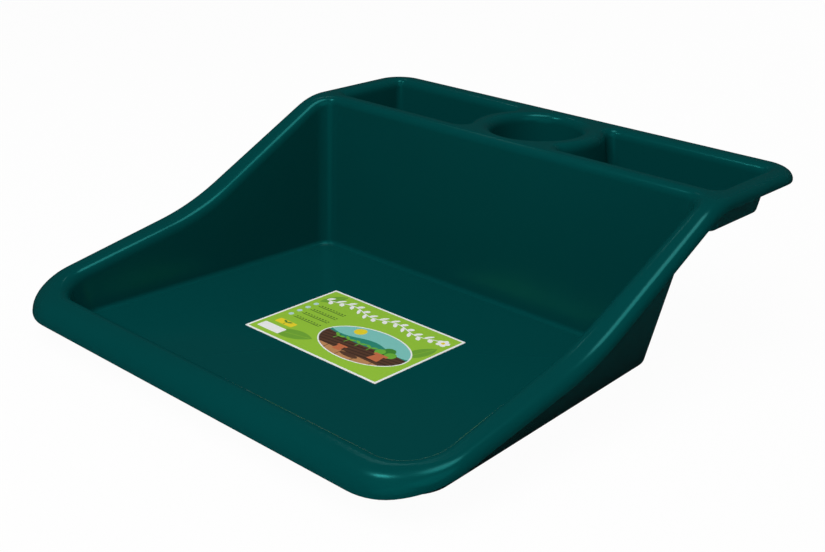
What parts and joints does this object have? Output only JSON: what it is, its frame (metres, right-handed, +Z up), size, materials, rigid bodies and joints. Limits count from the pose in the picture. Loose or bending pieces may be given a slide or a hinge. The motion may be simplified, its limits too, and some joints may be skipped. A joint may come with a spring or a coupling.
{
  "type": "potting soil tray",
  "caption": "Deep green plastic potting tray with a low front lip, rising side rims and a rear shelf with compartments and a cup, and a printed label on its floor.",
  "frame": {"origin": "on the ground, under the middle of the tray's box", "axes": "+X to the right seen from the low front lip, +Y from the front lip to the rear shelf, +Z up"},
  "size_m": [0.53, 0.5351, 0.161],
  "materials": {
    "green_plastic": "gloss",
    "printed_label": "satin"
  },
  "bodies": {
    "root": {"tray_moulding": "green_plastic", "paper_label": "printed_label"}
  },
  "joints": []
}
